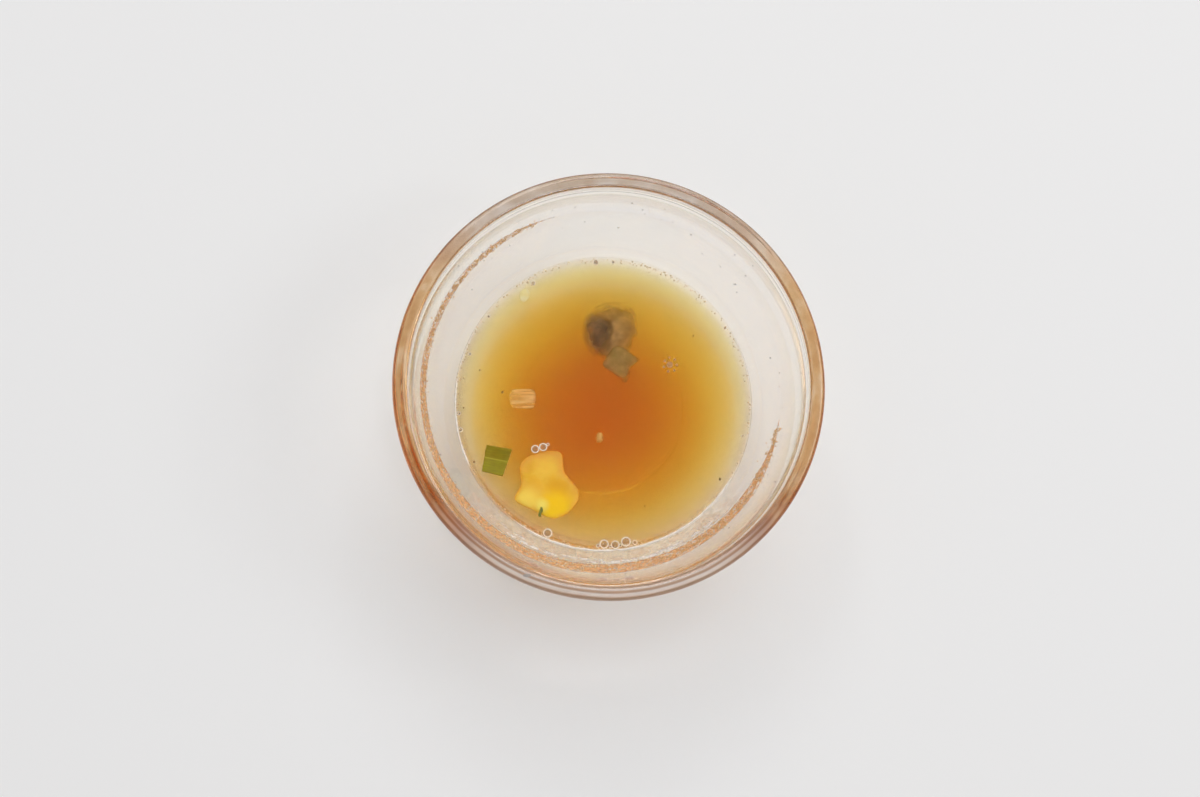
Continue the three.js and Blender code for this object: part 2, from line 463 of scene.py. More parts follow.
def maths(tree, way, *values):
    """A sum, product or the like of numbers and outputs."""
    made = node(tree, "ShaderNodeMath")
    made.operation = way
    for into, value in zip(made.inputs, values):
        feed(tree, into, value)
    return made.outputs[0]


def vectors(tree, way, *values):
    """A node that works on vectors, such as their product or distance."""
    made = node(tree, "ShaderNodeVectorMath")
    made.operation = way
    for into, value in zip(made.inputs, values):
        feed(tree, into, value)
    return made


def place(tree, stretch=(1, 1, 1)):
    """Object coordinates, each multiplied by its stretch."""
    where = node(tree, "ShaderNodeTexCoord").outputs["Object"]
    return vectors(tree, "MULTIPLY", where, stretch).outputs["Vector"]


def axis(tree, letter):
    """One of the object coordinates."""
    split = node(tree, "ShaderNodeSeparateXYZ")
    tree.links.new(place(tree), split.inputs[0])
    return split.outputs[letter]


def grain(tree, size, detail=2.0, stretch=(1, 1, 1)):
    """Noise with lumps of about that size."""
    made = node(tree, "ShaderNodeTexNoise", Scale=1.0, Detail=detail)
    tree.links.new(place(tree, tuple(s / size for s in stretch)), made.inputs["Vector"])
    return made.outputs[0]


def ramp(tree, value, stops):
    """Colours picked by a value, from (position, colour) stops."""
    made = node(tree, "ShaderNodeValToRGB")
    tree.links.new(value, made.inputs[0])
    spots = made.color_ramp.elements
    for spot, (position, colour) in zip((spots[0], spots[1]), (stops[0], stops[-1])):
        spot.position = position
        spot.color = (*colour, 1)
    for position, colour in stops[1:-1]:
        spots.new(position).color = (*colour, 1)
    return made.outputs[0]


def mixed(tree, share, first, second, way="MIX"):
    """Two colours mixed."""
    made = node(tree, "ShaderNodeMix")
    made.data_type = "RGBA"
    made.blend_type = way
    feed(tree, made.inputs[0], share)
    feed(tree, socket(made, "A", "RGBA"), first)
    feed(tree, socket(made, "B", "RGBA"), second)
    return socket(made, "Result", "RGBA", out=True)


def remap(tree, value, low, high, start=0.0, end=1.0):
    """A value brought from low..high to start..end with a smooth ramp."""
    made = node(tree, "ShaderNodeMapRange")
    made.interpolation_type = "SMOOTHSTEP"
    for name, number in (("From Min", low), ("From Max", high), ("To Min", start), ("To Max", end)):
        made.inputs[name].default_value = number
    tree.links.new(value, made.inputs["Value"])
    return made.outputs[0]


def near(tree, centre, inner, outer):
    """1 within the inner distance of a place and 0 past the outer one, in metres."""
    distance = vectors(tree, "DISTANCE", place(tree), centre).outputs["Value"]
    return remap(tree, distance, inner, outer, 1.0, 0.0)


def bump(tree, shader, height, distance, strength):
    made = node(tree, "ShaderNodeBump", Distance=distance, Strength=strength)
    tree.links.new(height, made.inputs["Height"])
    tree.links.new(made.outputs[0], shader.inputs["Normal"])


def soft_edge(tree, level, thin, thick, ragged):
    """Cover that fades where a body thins out towards its widest level, with a ragged edge."""
    away = maths(tree, "ABSOLUTE", maths(tree, "SUBTRACT", axis(tree, "Z"), level))
    stray = maths(tree, "MULTIPLY_ADD", grain(tree, RAGGED_GRAIN, 4.0), ragged, away)
    return remap(tree, stray, thin + 0.5 * ragged, thick + 0.5 * ragged)


def absorption(tree, takes):
    """A plain Volume Absorption that takes these amounts of red, green and blue in a metre."""
    density = max(takes) * 1.02
    made = node(tree, "ShaderNodeVolumeAbsorption", Density=density)
    made.inputs["Color"].default_value = (*[1 - t / density for t in takes], 1)
    return made.outputs[0]


def glass():
    """Clear glass. The top of its rim is coloured with painted light: the broth's amber light, which the
    thick wall leads up to it.
    """
    made, tree, out = material("clear_glass")
    across = axis(tree, "Y")
    at_rim = remap(tree, axis(tree, "Z"), HEIGHT - RIM_PAINTED_LIGHT_DEPTH, HEIGHT - 0.5 * RIM_PAINTED_LIGHT_DEPTH)
    streaks = grain(tree, 8 * MM, 3.0, (1, 1, 12))
    sides = ramp(tree, streaks, RIM_SIDE_PAINTED_LIGHT)
    far = ramp(tree, streaks, RIM_FAR_PAINTED_LIGHT)
    # Painted light on the rim's top: amber at its sides, browner at its far side, nearly clear at its near
    # side.
    tint = mixed(tree, remap(tree, across, 25 * MM, 52 * MM), sides, far)
    tint = mixed(tree, remap(tree, across, -54 * MM, -30 * MM), RIM_NEAR_PAINTED_LIGHT, tint)
    colour = mixed(tree, at_rim, GLASS_COLOUR, tint)
    principled(tree, out, colour, Roughness=0.0, IOR=1.52, Transmission_Weight=1.0)
    return made


def broth_look():
    made, tree, out = material("amber_broth")
    principled(tree, out, (1, 1, 1), Roughness=0.02, IOR=BROTH_IOR, Transmission_Weight=1.0)
    tree.links.new(absorption(tree, BROTH_TAKES), out.inputs["Volume"])
    return made


def cloudy(name, density, forward, takes=None):
    """A see-through body of scattering motes, which may take light too."""
    made, tree, out = material(name)
    tree.links.new(node(tree, "ShaderNodeBsdfTransparent").outputs[0], out.inputs["Surface"])
    scatter = node(tree, "ShaderNodeVolumeScatter", Density=density, Anisotropy=forward)
    scatter.inputs["Color"].default_value = (1, 1, 1, 1)
    inside = scatter.outputs[0]
    if takes:
        both = node(tree, "ShaderNodeAddShader")
        tree.links.new(absorption(tree, takes), both.inputs[0])
        tree.links.new(inside, both.inputs[1])
        inside = both.outputs[0]
    tree.links.new(inside, out.inputs["Volume"])
    return made


def egg_look():
    """Soft egg: cream where it is thin, golden above and bright yellow towards the lower right."""
    made, tree, out = material("soft_egg")
    x, y = EGG_CENTRE
    colour = ramp(tree, grain(tree, 4 * MM, 3.0), (
        (0.35, srgb(238, 196, 48)), (0.5, srgb(244, 208, 62)), (0.65, srgb(250, 222, 96))))
    for centre, inner, outer, tint in (
        ((x - 3 * MM, y - 0.2 * MM), 1 * MM, 4.2 * MM, srgb(244, 204, 66)),
        ((x + 1.0 * MM, y + 6.5 * MM), 2 * MM, 6 * MM, srgb(252, 224, 90)),
        ((x + 3.5 * MM, y - 0.5 * MM), 1 * MM, 5 * MM, srgb(238, 192, 24)),
        ((x + 3.2 * MM, y - 6.0 * MM), 2 * MM, 6.5 * MM, srgb(255, 224, 0)),
        ((x - 5.0 * MM, y - 4.2 * MM), 1 * MM, 5.5 * MM, srgb(255, 234, 116)),
        ((x - 0.8 * MM, y - 5.6 * MM), 0.5 * MM, 3 * MM, srgb(255, 246, 140)),
    ):
        colour = mixed(tree, near(tree, (*centre, EGG_WIDEST_LEVEL), inner, outer), colour, tint)
    inner = soft_edge(tree, EGG_WIDEST_LEVEL, 0.35 * MM, 0.80 * MM, 0.35 * MM)
    colour = mixed(tree, inner, srgb(246, 196, 84), colour)
    shader = principled(tree, out, colour, Roughness=0.45, Specular_IOR_Level=0.3)
    bump(tree, shader, grain(tree, 0.9 * MM, 4.0), 0.15 * MM, 0.5)
    return made


def leaf_look():
    """Green leaf with veins beside its fold and a paler crease. One side of the fold is painted darker
    than the other, as painted shade for how the light falls on the two halves.
    """
    made, tree, out = material("scallion_green")
    light, dark, crease = srgb(144, 134, 6), srgb(136, 116, 0), srgb(172, 158, 44)
    a, b, c, d = (Vector(corner) * MM for corner in LEAF_CORNERS)
    left, right = a.lerp(d, LEAF_FOLD_AT), b.lerp(c, LEAF_FOLD_AT)
    along = (right - left).normalized()
    across = Vector((-along.y, along.x))
    height = vectors(tree, "DOT_PRODUCT", place(tree), (*across, 0)).outputs["Value"]
    fold = left.dot(across)
    turn = node(tree, "ShaderNodeVectorRotate", Angle=-math.atan2(along.y, along.x))
    turn.rotation_type = "Z_AXIS"
    tree.links.new(place(tree), turn.inputs["Vector"])
    narrow = (0.12 / LEAF_VEIN, 1 / LEAF_VEIN, 1 / LEAF_VEIN)
    veins = node(tree, "ShaderNodeTexNoise", Scale=1.0, Detail=3.0)
    feed(tree, veins.inputs["Vector"], vectors(tree, "MULTIPLY", turn.outputs[0], narrow).outputs[0])
    shade = ramp(tree, veins.outputs[0], ((0.3, (0.78, 0.78, 0.78)), (0.7, (1.2, 1.2, 1.1))))
    # Painted shade: one half of the leaf darker than the other across the fold, for how the light falls.
    colour = mixed(tree, remap(tree, height, fold - 0.5 * MM, fold + 0.7 * MM), light, dark)
    colour = mixed(tree, 1.0, colour, shade, "MULTIPLY")
    colour = mixed(tree, 0.35, colour,
                   ramp(tree, grain(tree, 2.2 * MM), ((0.4, dark), (0.62, light))))
    above = remap(tree, height, fold + 0.05 * MM, fold + 0.32 * MM, 1.0, 0.0)
    below = remap(tree, height, fold - 0.32 * MM, fold - 0.05 * MM)
    colour = mixed(tree, maths(tree, "MULTIPLY", above, below), colour, crease)
    shader = principled(tree, out, colour, Roughness=0.5, Specular_IOR_Level=0.25)
    bump(tree, shader, veins.outputs[0], 0.08 * MM, 0.6)
    return made


def mottled(name, stops, size, roughness=0.5, wet=0.2, soft=None):
    """A wet surface with soft patches of a few colours, and a soft edge if one is asked for."""
    made, tree, out = material(name)
    shader = principled(tree, out, ramp(tree, grain(tree, size, 3.0), stops), Roughness=roughness,
                        Coat_Weight=wet, Coat_Roughness=0.15)
    bump(tree, shader, grain(tree, size * 0.3, 3.0), 0.1 * MM, 0.6)
    if soft:
        tree.links.new(soft_edge(tree, *soft), shader.inputs["Alpha"])
    return made


def film_look(name, stops, size, opaque, fading=None):
    """A thin broken film. opaque is where its noise starts and ends, and its cover at either.

    fading is where along Y the film starts and ends to fade, and the share that is left."""
    made, tree, out = material(name)
    shader = principled(tree, out, ramp(tree, grain(tree, size, 4.0), stops), Roughness=0.35)
    cover = remap(tree, grain(tree, size * 1.7, 3.0), *opaque)
    if fading:
        start, end, left = fading
        cover = maths(tree, "MULTIPLY", cover, remap(tree, axis(tree, "Y"), start, end, 1.0, left))
    tree.links.new(cover, shader.inputs["Alpha"])
    return made


def veil(name, colour, cover, roughness):
    """A thin skin that covers what is under it only in part."""
    made, tree, out = material(name)
    shades = ((0.35, tuple(0.88 * c for c in colour)), (0.65, colour))
    principled(tree, out, ramp(tree, grain(tree, 1 * MM), shades), Roughness=roughness, Alpha=cover)
    return made


def droplet_look(name, colour, clear, roughness=0.08):
    """Small wet beads, partly see-through, a little uneven in colour."""
    made, tree, out = material(name)
    tint = ramp(tree, grain(tree, 1.5 * MM), ((0.35, tuple(0.85 * c for c in colour)), (0.65, colour)))
    principled(tree, out, tint, Roughness=roughness, IOR=BROTH_IOR, Transmission_Weight=clear)
    return made


# ---- bowl and broth

def inside_profile(level, inset, steps):
    """The bowl's inside from the middle of its floor up to a level, moved inwards by inset."""
    radius = INSIDE_RADIUS - inset
    floor = FLOOR_HEIGHT + inset
    corner = math.sqrt(radius ** 2 - (HEIGHT - floor) ** 2)
    blend_top = floor + FLOOR_BLEND * corner / radius
    top_radius = math.sqrt(radius ** 2 - (HEIGHT - blend_top) ** 2)
    start = corner - FLOOR_BLEND
    rows = [(start * k / 4, floor) for k in range(4)]
    rows += blend((start, floor), (corner, floor), (top_radius, blend_top), 10)
    return rows + sphere_points(radius, HEIGHT, blend_top, level, steps)[1:]


def outside_profile():
    """The bowl's outside from the middle of the foot's recess up and over the rim."""
    under = HEIGHT - COLLAR_HEIGHT
    collar = RIM_RADIUS - COLLAR_TAPER
    neck = collar - COLLAR_STEP
    start = FOOT_RADIUS + FOOT_EDGE
    centre = (neck ** 2 + under ** 2 - start ** 2 - FOOT_EDGE ** 2) / (2 * (under - FOOT_EDGE))
    radius = math.hypot(neck, under - centre)
    ring = FOOT_RADIUS - FOOT_RING
    lip = 0.2 * MM
    rows = [((ring - 4 * MM) * k / 4, FOOT_RECESS) for k in range(4)]
    rows += blend((ring - 4 * MM, FOOT_RECESS), (ring - 1.5 * MM, FOOT_RECESS), (ring, 0), 8)
    rows += blend((FOOT_RADIUS, 0), (FOOT_RADIUS + 0.5 * MM, 0), (start, FOOT_EDGE), 6)
    rows += sphere_points(radius, centre, FOOT_EDGE, under - COLLAR_EDGE, 48)[1:]
    neck_top = rows[-1][0]
    rows += blend(rows[-1], (neck_top + 0.3 * MM, under - lip),
                  (collar - COLLAR_EDGE, under - lip), 6)[1:]
    rows += blend((collar - COLLAR_EDGE, under - lip), (collar, under - lip),
                  (collar, under + COLLAR_EDGE), 6)[1:]
    rows += blend((RIM_RADIUS, HEIGHT - RIM_OUTER_ROUND), (RIM_RADIUS, HEIGHT),
                  (RIM_RADIUS - RIM_OUTER_ROUND, HEIGHT), 12)
    rows += blend((INSIDE_RADIUS + RIM_INNER_ROUND, HEIGHT), (INSIDE_RADIUS, HEIGHT),
                  (INSIDE_RADIUS, HEIGHT - RIM_INNER_ROUND), 10)
    return rows


def make_bowl():
    inside = inside_profile(HEIGHT - RIM_INNER_ROUND, 0, 60)[:-1]
    piece("glass_bowl", turned(outside_profile() + inside[::-1]), glass(), "bowl")


EGG_EDGE = [p * MM for p in closed_curve(EGG_OUTLINE, 180)]
EGG_BY_TURN = sorted((math.atan2(p.y, p.x), p.length) for p in EGG_EDGE)


def egg_share(x, y):
    """How far a place is from the egg's middle, as a share of the way to its outline."""
    x, y = x - EGG_CENTRE[0], y - EGG_CENTRE[1]
    turn = math.atan2(y, x)
    step = min(EGG_BY_TURN, key=lambda spot: abs(spot[0] - turn))
    return math.hypot(x, y) / step[1]


def broth_height(x, y, contact):
    """The broth's surface: level, drawn up at the wall, with a film over what is under it."""
    from_wall = max(contact - math.hypot(x, y), 0)
    height = LEVEL + MENISCUS_RISE * math.exp(-from_wall / MENISCUS_REACH)
    if math.hypot(x - EGG_CENTRE[0], y - EGG_CENTRE[1]) < 13 * MM:
        share = egg_share(x, y)
        lift = EGG_WIDEST_LEVEL + EGG_RISE + FILM + 0.2 * MM - LEVEL
        height += max(lift, 0) * smooth(share, 1.15, 0.85)
    return height


def make_broth():
    contact = wall_radius(LEVEL + MENISCUS_RISE)
    wall = inside_profile(LEVEL + MENISCUS_RISE - CREASE, -WALL_OVERLAP, 40)
    edge = wall_radius(LEVEL + MENISCUS_RISE, -WALL_OVERLAP)
    wall.append((edge, LEVEL + MENISCUS_RISE))
    rings = [circle(*row) for row in wall[1:]]
    rows = 72
    for k in range(rows):
        radius = (edge - CREASE) * (1 - (k / rows) ** 1.4)
        rings.append([(x, y, broth_height(x, y, contact)) for x, y, _ in circle(radius, 0)])
    body = closed_rings(rings, (0, 0, wall[0][1]), (0, 0, LEVEL))
    piece("amber_broth", body, broth_look(), "broth")


def make_haze():
    """Fine motes in all the broth."""
    top = LEVEL - HAZE_INSET
    wall = inside_profile(top, HAZE_INSET, 40)
    body = turned(wall + [(wall[-1][0] * k / 4, top) for k in (3, 2, 1, 0)], 128)
    piece("fine_haze", body, cloudy("fine_haze", HAZE_DENSITY, HAZE_FORWARD))


def make_cloud():
    """A dark amber cloud in the broth's middle, which reaches less far on the far side. It gives the
    broth's deeper colour where it is deep, and painted shade where less light reaches under the bowl's
    middle; its shorter reach on the far side is painted light, where that edge is lit more.
    """
    top = LEVEL - 2 * HAZE_INSET
    wall = [p for p in inside_profile(top, 2 * HAZE_INSET, 60) if p[0] < CLOUD_REACH]
    lid = []
    for radius, height in wall[::-1]:
        share = 1 - (radius / CLOUD_REACH) ** 2
        lid.append((radius, height + max((top - height) * share, 0.02 * MM)))
    points, faces = turned(wall + lid, 128)
    near_side, far_side = CLOUD_SHARES
    shrunk = []
    for x, y, z in points:
        towards_far = smooth(y / max(math.hypot(x, y), 1e-9), -0.6, 1)
        grow = near_side + (far_side - near_side) * towards_far
        shrunk.append((x * grow, y * grow, z))
    look = cloudy("middle_cloud_and_painted_shade", CLOUD_DENSITY, CLOUD_FORWARD, CLOUD_TAKES)
    piece("middle_cloud_and_painted_shade", (shrunk, faces), look)


def make_edge_milk_and_painted_light():
    """A milky layer along the wall, thinner on the near side. It is partly the broth's milkiness and
    partly painted light, which lightens the broth's edge where it is lit more, most on the far side.
    """
    top = LEVEL - 2 * HAZE_INSET - 0.3 * MM
    outer = [p for p in inside_profile(top, 2 * HAZE_INSET, 60) if p[0] > EDGE_START]
    around = 128
    rows = []
    for k in range(around):
        turn = 2 * math.pi * k / around
        fullest = EDGE_THICKNESS * (0.15 + 0.85 * smooth(math.sin(turn), -0.8, 0.5)
                                    + 0.45 * smooth(math.sin(turn), 0.2, 1))
        inner = []
        for radius, height in outer:
            thick = 0.02 * MM + fullest * smooth(radius, EDGE_START, EDGE_FULL)
            lift = thick * (HEIGHT - height) / INSIDE_RADIUS
            inner.append((radius - thick * radius / INSIDE_RADIUS, min(height + lift, top + 0.1 * MM)))
        rows.append([(r * math.cos(turn), r * math.sin(turn), z) for r, z in outer + inner[::-1]])
    piece("edge_milk_and_painted_light", hoop(rows), cloudy("edge_milk_and_painted_light", EDGE_DENSITY, 0.0))


# ---- what floats and what has sunk

def make_egg():
    body = lump(EGG_OUTLINE, EGG_CENTRE, EGG_WIDEST_LEVEL, EGG_RISE, EGG_DEPTH, EGG_FULLNESS,
                (0, EGG_TILT), 0.12 * MM, 2.6 * MM, 160, 44, 3)
    piece("soft_egg_piece", body, egg_look(), "egg_piece")


def make_fleck():
    """The tiny green strip on the egg's edge."""
    width, length, height = FLECK_SIZE
    sine, cosine = math.sin(FLECK_TURN), math.cos(FLECK_TURN)
    steps = 14
    rings = []
    for i in range(steps + 1):
        t = i / steps * 2 - 1
        bend = 0.12 * MM * math.sin(3 * t)
        wide = 0.5 * width * (1 - 0.35 * t * t + 0.12 * math.sin(6 * t))
        ring = []
        for k in range(12):
            a = 2 * math.pi * k / 12
            x, y = wide * math.cos(a) + bend, 0.5 * length * t
            z = 0.5 * height * (1 - 0.25 * t * t) * math.sin(a)
            ring.append((FLECK_CENTRE[0] + x * cosine - y * sine,
                         FLECK_CENTRE[1] + x * sine + y * cosine,
                         FLECK_CENTRE[2] + z))
        rings.append(ring)
    look = mottled("fleck_green", ((0.4, srgb(96, 104, 8)), (0.6, srgb(140, 138, 20))),
                   0.8 * MM, 0.4, 0.4)
    piece("green_fleck", closed_rings(rings, *ring_centres(rings)), look, "egg_piece")


def leaf_sheet(lift):
    """Rows of points over the leaf, as its node has them, a little above the broth."""
    a, b, c, d = (Vector(corner) * MM for corner in LEAF_CORNERS)
    rows = []
    for j in range(LEAF_STEPS + 1):
        v = j / LEAF_STEPS
        row = []
        for i in range(LEAF_STEPS + 1):
            u = i / LEAF_STEPS
            ragged = 0.1 * MM * wobble(u, v, 0, 0.12, 2)
            x, y = a.lerp(b, u).lerp(d.lerp(c, u), v)
            fold = LEAF_FOLD_RISE * abs(v - LEAF_FOLD_AT) ** 1.3
            wave = LEAF_WAVE * (1 + math.sin(7 * u + 3 * v))
            row.append((x + ragged, y - ragged, LEVEL + GAP + lift + fold + wave))
        rows.append(row)
    return rows


def make_leaf():
    body = slab(leaf_sheet(0), leaf_sheet(LEAF_THICKNESS))
    piece("scallion_cut", body, leaf_look(), "scallion_leaf")


def sunk_lump(outline, centre, level, rise, depth, fullness, **form):
    """A body under the surface, with its centre and heights in millimetres."""
    centre = [c * MM for c in centre]
    return lump(outline, centre, level * MM, rise * MM, depth * MM, fullness, **form)


def make_sunk():
    """What lies wholly under the surface, from the deepest to the highest."""
    outline = ((7.5, -1.2), (8.1, 4.6), (4.1, 9.3), (-2.9, 8.8), (-7, 5.2), (-6.3, -1.7),
               (-3.5, -7), (2.9, -7.9))
    body = sunk_lump(outline, (2.4, 21.4), 16.0, 2.4, 0.4, 2.0, tilt=(-0.02, 0.03),
                     rough=0.3 * MM, size=3 * MM, rows=30, seed=5)
    piece("sunk_grey_piece", body, mottled("sunk_grey", (
        (0.35, srgb(150, 122, 106)), (0.5, srgb(174, 146, 128)), (0.66, srgb(200, 172, 148))),
        3 * MM, soft=(16.0 * MM, 0.0, 1.5 * MM, 0.6 * MM)))

    outline = ((5.3, -1.2), (4.6, 4.3), (-0.6, 6.5), (-4.3, 4.3), (-4.6, -2.4), (-1.9, -7.2),
               (3.1, -6.7))
    body = sunk_lump(outline, (-1.2, 21.4), 18.0, 1.4, 0.3, 2.0, tilt=(0.04, 0),
                     rough=0.2 * MM, rows=30, seed=6)
    piece("sunk_dark_core", body, mottled("sunk_dark", (
        (0.35, srgb(90, 58, 42)), (0.5, srgb(108, 76, 58)), (0.66, srgb(136, 100, 76))),
        2 * MM, soft=(18.0 * MM, 0.0, 1.5 * MM, 0.3 * MM)))

    outline = ((5.4, 1.3), (3.7, 2.6), (-1.7, 5), (-4, 2.7), (-5.6, -0.6), (-2.2, -3.9),
               (1.1, -5.7), (2.9, -1.9))
    body = sunk_lump(outline, (5.6, 12.4), 17.6, 0.7, 0.1, 1.3, tilt=(0.03, -0.03),
                     rough=0.1 * MM, size=2.5 * MM, rows=20, seed=7)
    piece("sunk_green_piece", body, mottled("sunk_green", (
        (0.35, srgb(136, 120, 80)), (0.5, srgb(156, 136, 100)), (0.66, srgb(182, 160, 128))),
        2.5 * MM, soft=(17.6 * MM, 0.06 * MM, 0.5 * MM, 0.3 * MM)))

    outline = ((1.1, -0.7), (1.0, 0.7), (0.4, 1.5), (-0.6, 1.2), (-1.1, 0.1), (-0.9, -1.3), (0.1, -1.7))
    body = sunk_lump(outline, (-1.1, -9.9), 20.1, 0.5, 0.6, 0.6,
                     rough=0.06 * MM, size=1 * MM, around=40, rows=16)
    piece("small_seed", body, mottled("seed_tan", (
        (0.4, srgb(212, 156, 66)), (0.6, srgb(228, 182, 92))), 1.2 * MM, 0.4))

    outline = ((1.3, -0.8), (1.5, 1.2), (0.4, 2.2), (-1.0, 1.4), (-1.4, -0.4), (-0.5, -2.0))
    body = sunk_lump(outline, (-23.2, 31.8), 20.2, 0.3, 0.4, 0.4,
                     rough=0.08 * MM, size=1.4 * MM, around=48, rows=16)
    piece("pale_scrap", body, mottled("scrap_cream", (
        (0.4, srgb(255, 248, 204)), (0.6, srgb(255, 253, 226))), 1.5 * MM, 0.4,
        soft=(20.2 * MM, 0.02 * MM, 0.2 * MM, 0.1 * MM)))


def make_sliver():
    """The pale, ribbed, half see-through square just under the surface."""
    level = 20.2
    outline = ((3.5, -2.6), (3.7, 2.6), (0, 3.0), (-3.4, 2.4), (-3.9, 0), (-3.2, -2.4), (0, -3.0))
    body = sunk_lump(outline, (-23.6, 1.2), level, 0.5, 0.06, 1.0,
                     rough=0.05 * MM, size=1.5 * MM, around=72, rows=20)
    made, tree, out = material("pale_sliver")
    ribs = grain(tree, 0.9 * MM, 2.0, (0.12, 1, 1))
    colour = ramp(tree, ribs, ((0.36, srgb(244, 200, 120)), (0.64, srgb(255, 226, 160))))
    shader = principled(tree, out, colour, Roughness=0.4)
    between_ribs = remap(tree, ribs, 0.3, 0.7, 0.35, 0.85)
    edge = soft_edge(tree, level * MM, 0.04 * MM, 0.36 * MM, 0.2 * MM)
    tree.links.new(maths(tree, "MULTIPLY", between_ribs, edge), shader.inputs["Alpha"])
    piece("pale_sliver", body, made)


# ---- bubbles, froth and residue

def collar(x, y, z, radius, tube, around=28, sides=10):
    """A torus that lies flat."""
    rows = []
    for k in range(around):
        a = 2 * math.pi * k / around
        row = []
        for s in range(sides):
            b = 2 * math.pi * s / sides
            wide = radius + tube * math.cos(b)
            row.append((x + wide * math.cos(a), y + wide * math.sin(a), z + 0.8 * tube * math.sin(b)))
        rows.append(row)
    return hoop(rows)


def make_bubbles():
    """Each bubble has a collar painted pale as its highlight, a thin dome, and a pool inside painted
    browner as its shade.
    """
    domes, pools = [], []
    # Painted highlight: the collars are pale for the light that the bubbles' rims catch.
    for name, places, colour, cover in (
            ("bubble_collar_highlights", BUBBLES, srgb(255, 246, 232), 0.95),
            ("faint_collar_highlights", FAINT_BUBBLES, srgb(240, 186, 120), 0.5)):
        collars = []
        for x, y, width in places:
            radius = width / 2 * MM
            x, y = x * MM, y * MM
            collars.append(collar(x, y, LEVEL + 0.12 * MM, radius * 0.86, radius * 0.12 + 0.03 * MM))
            pools.append(ball((x, y, LEVEL + 0.03 * MM), radius * 0.8, (1, 1, 0.1), 20, 8))
            domes.append(ball((x, y, LEVEL), radius * 0.9, (1, 1, 0.7), 24, 14))
        piece(name, joined(collars), veil(name, colour, cover, 0.2))
    piece("bubble_domes", joined(domes), veil("bubble_film", (1, 1, 1), 0.06, 0.03))
    # Painted shade: the pools are browner for the dimmer broth under each bubble.
    piece("bubble_shade_discs", joined(pools), veil("bubble_painted_shade", srgb(190, 140, 72), 0.4, 0.3))


def make_froth():
    """Fine beads all along the wall at the broth's level, more of them on the near side."""
    draw = random.Random(11)
    beads = []
    for k in range(FROTH_BEADS):
        angle = draw.uniform(0, 360)
        busy = 0.35 + 0.65 * smooth(math.cos(math.radians(angle - 200)), -0.2, 0.9)
        if draw.random() > busy:
            continue
        radius = draw.choice((0.1, 0.12, 0.15, 0.2, 0.28)) * MM
        inward = abs(draw.gauss(0, 0.6)) * MM + radius
        x, y = clock(angle)
        reach = wall_radius(LEVEL + MENISCUS_RISE) - inward
        lift = MENISCUS_RISE * math.exp(-inward / MENISCUS_REACH)
        beads.append(ball((reach * x, reach * y, LEVEL + lift), radius, (1, 1, 0.8), 8, 5))
    piece("wall_froth", joined(beads), veil("froth_beads", srgb(250, 232, 200), 0.6, 0.25))


def meniscus_highlight_arc(start, end, width):
    """A thin uneven thread of painted highlight along the edge of the broth, where its meniscus catches
    the light.
    """
    sides = 8
    steps = int((end - start) * 4)
    rings = []
    for i in range(steps + 1):
        angle = start + (end - start) * i / steps
        x, y = clock(angle)
        taper = smooth(min(i, steps - i) / steps, -0.01, 0.12)
        thick = width * MM * taper * (1 + 0.5 * wobble(angle, 0, 0, 3, 4))
        reach = wall_radius(LEVEL + MENISCUS_RISE) - 0.25 * MM + 0.12 * MM * wobble(angle, 0, 0, 5, 8)
        ring_points = []
        for side in range(sides):
            turn = 2 * math.pi * side / sides
            out = reach + thick * math.cos(turn)
            ring_points.append((out * x, out * y, LEVEL + 0.42 * MM + thick * math.sin(turn)))
        rings.append(ring_points[::-1])
    return closed_rings(rings, *ring_centres(rings))


def make_meniscus_highlight():
    body = joined([meniscus_highlight_arc(*arc) for arc in MENISCUS_HIGHLIGHT_ARCS])
    # Painted highlight: a white thread where the meniscus catches the window's light.
    piece("meniscus_highlight_line", body, veil("meniscus_highlight_white", srgb(255, 250, 242), 0.95, 0.2))


def rim_highlight_look():
    """Painted highlights and reflections in pale lines along the rim, which fade away towards its left and
    right.
    """
    made, tree, out = material("rim_painted_highlights")
    radius = vectors(tree, "LENGTH", place(tree, (1, 1, 0))).outputs["Value"]
    stray = maths(tree, "MULTIPLY_ADD", grain(tree, 14 * MM, 1.0), 0.5 * MM, radius)
    first, last = RIM_HIGHLIGHT_LINES[0][0] * MM, RIM_HIGHLIGHT_LINES[-1][0] * MM
    across = remap(tree, stray, first + 0.25 * MM, last + 0.25 * MM)
    across.node.interpolation_type = "LINEAR"
    stops = [((r * MM - first) / (last - first), srgb(*colour)) for r, colour in RIM_HIGHLIGHT_LINES]
    shader = principled(tree, out, ramp(tree, across, stops), Roughness=0.4)
    cover = remap(tree, axis(tree, "Y"), -52 * MM, -18 * MM, 0.9, 0.0)
    tree.links.new(cover, shader.inputs["Alpha"])
    return made


def make_rim_highlights():
    """A sheet just inside the rim's near side, with the pale light that it gathers painted on as lines of
    highlight.
    """
    sheets = []
    for inset in (RIM_INSET + 0.05 * MM, RIM_INSET):
        out, top, into = RIM_RADIUS - inset, HEIGHT - inset, INSIDE_RADIUS + inset
        rows = blend((into, HEIGHT - RIM_INNER_ROUND), (into, top),
                     (INSIDE_RADIUS + RIM_INNER_ROUND, top), 8)
        rows += blend((RIM_RADIUS - RIM_OUTER_ROUND, top), (out, top),
                      (out, HEIGHT - RIM_OUTER_ROUND), 8)
        turns = [clock(RIM_HIGHLIGHT_LINES_START + RIM_HIGHLIGHT_LINES_TURN * i / 160) for i in range(161)]
        sheets.append([[(r * x, r * y, z) for x, y in turns] for r, z in rows])
    piece("rim_painted_highlights", slab(*sheets), rim_highlight_look())


def band_level(angle):
    """The height of the tan ring, a painted reflection of the broth's edge in the glass."""
    return BAND_LEVEL + BAND_SWING * math.cos(math.radians(angle - BAND_TOP))


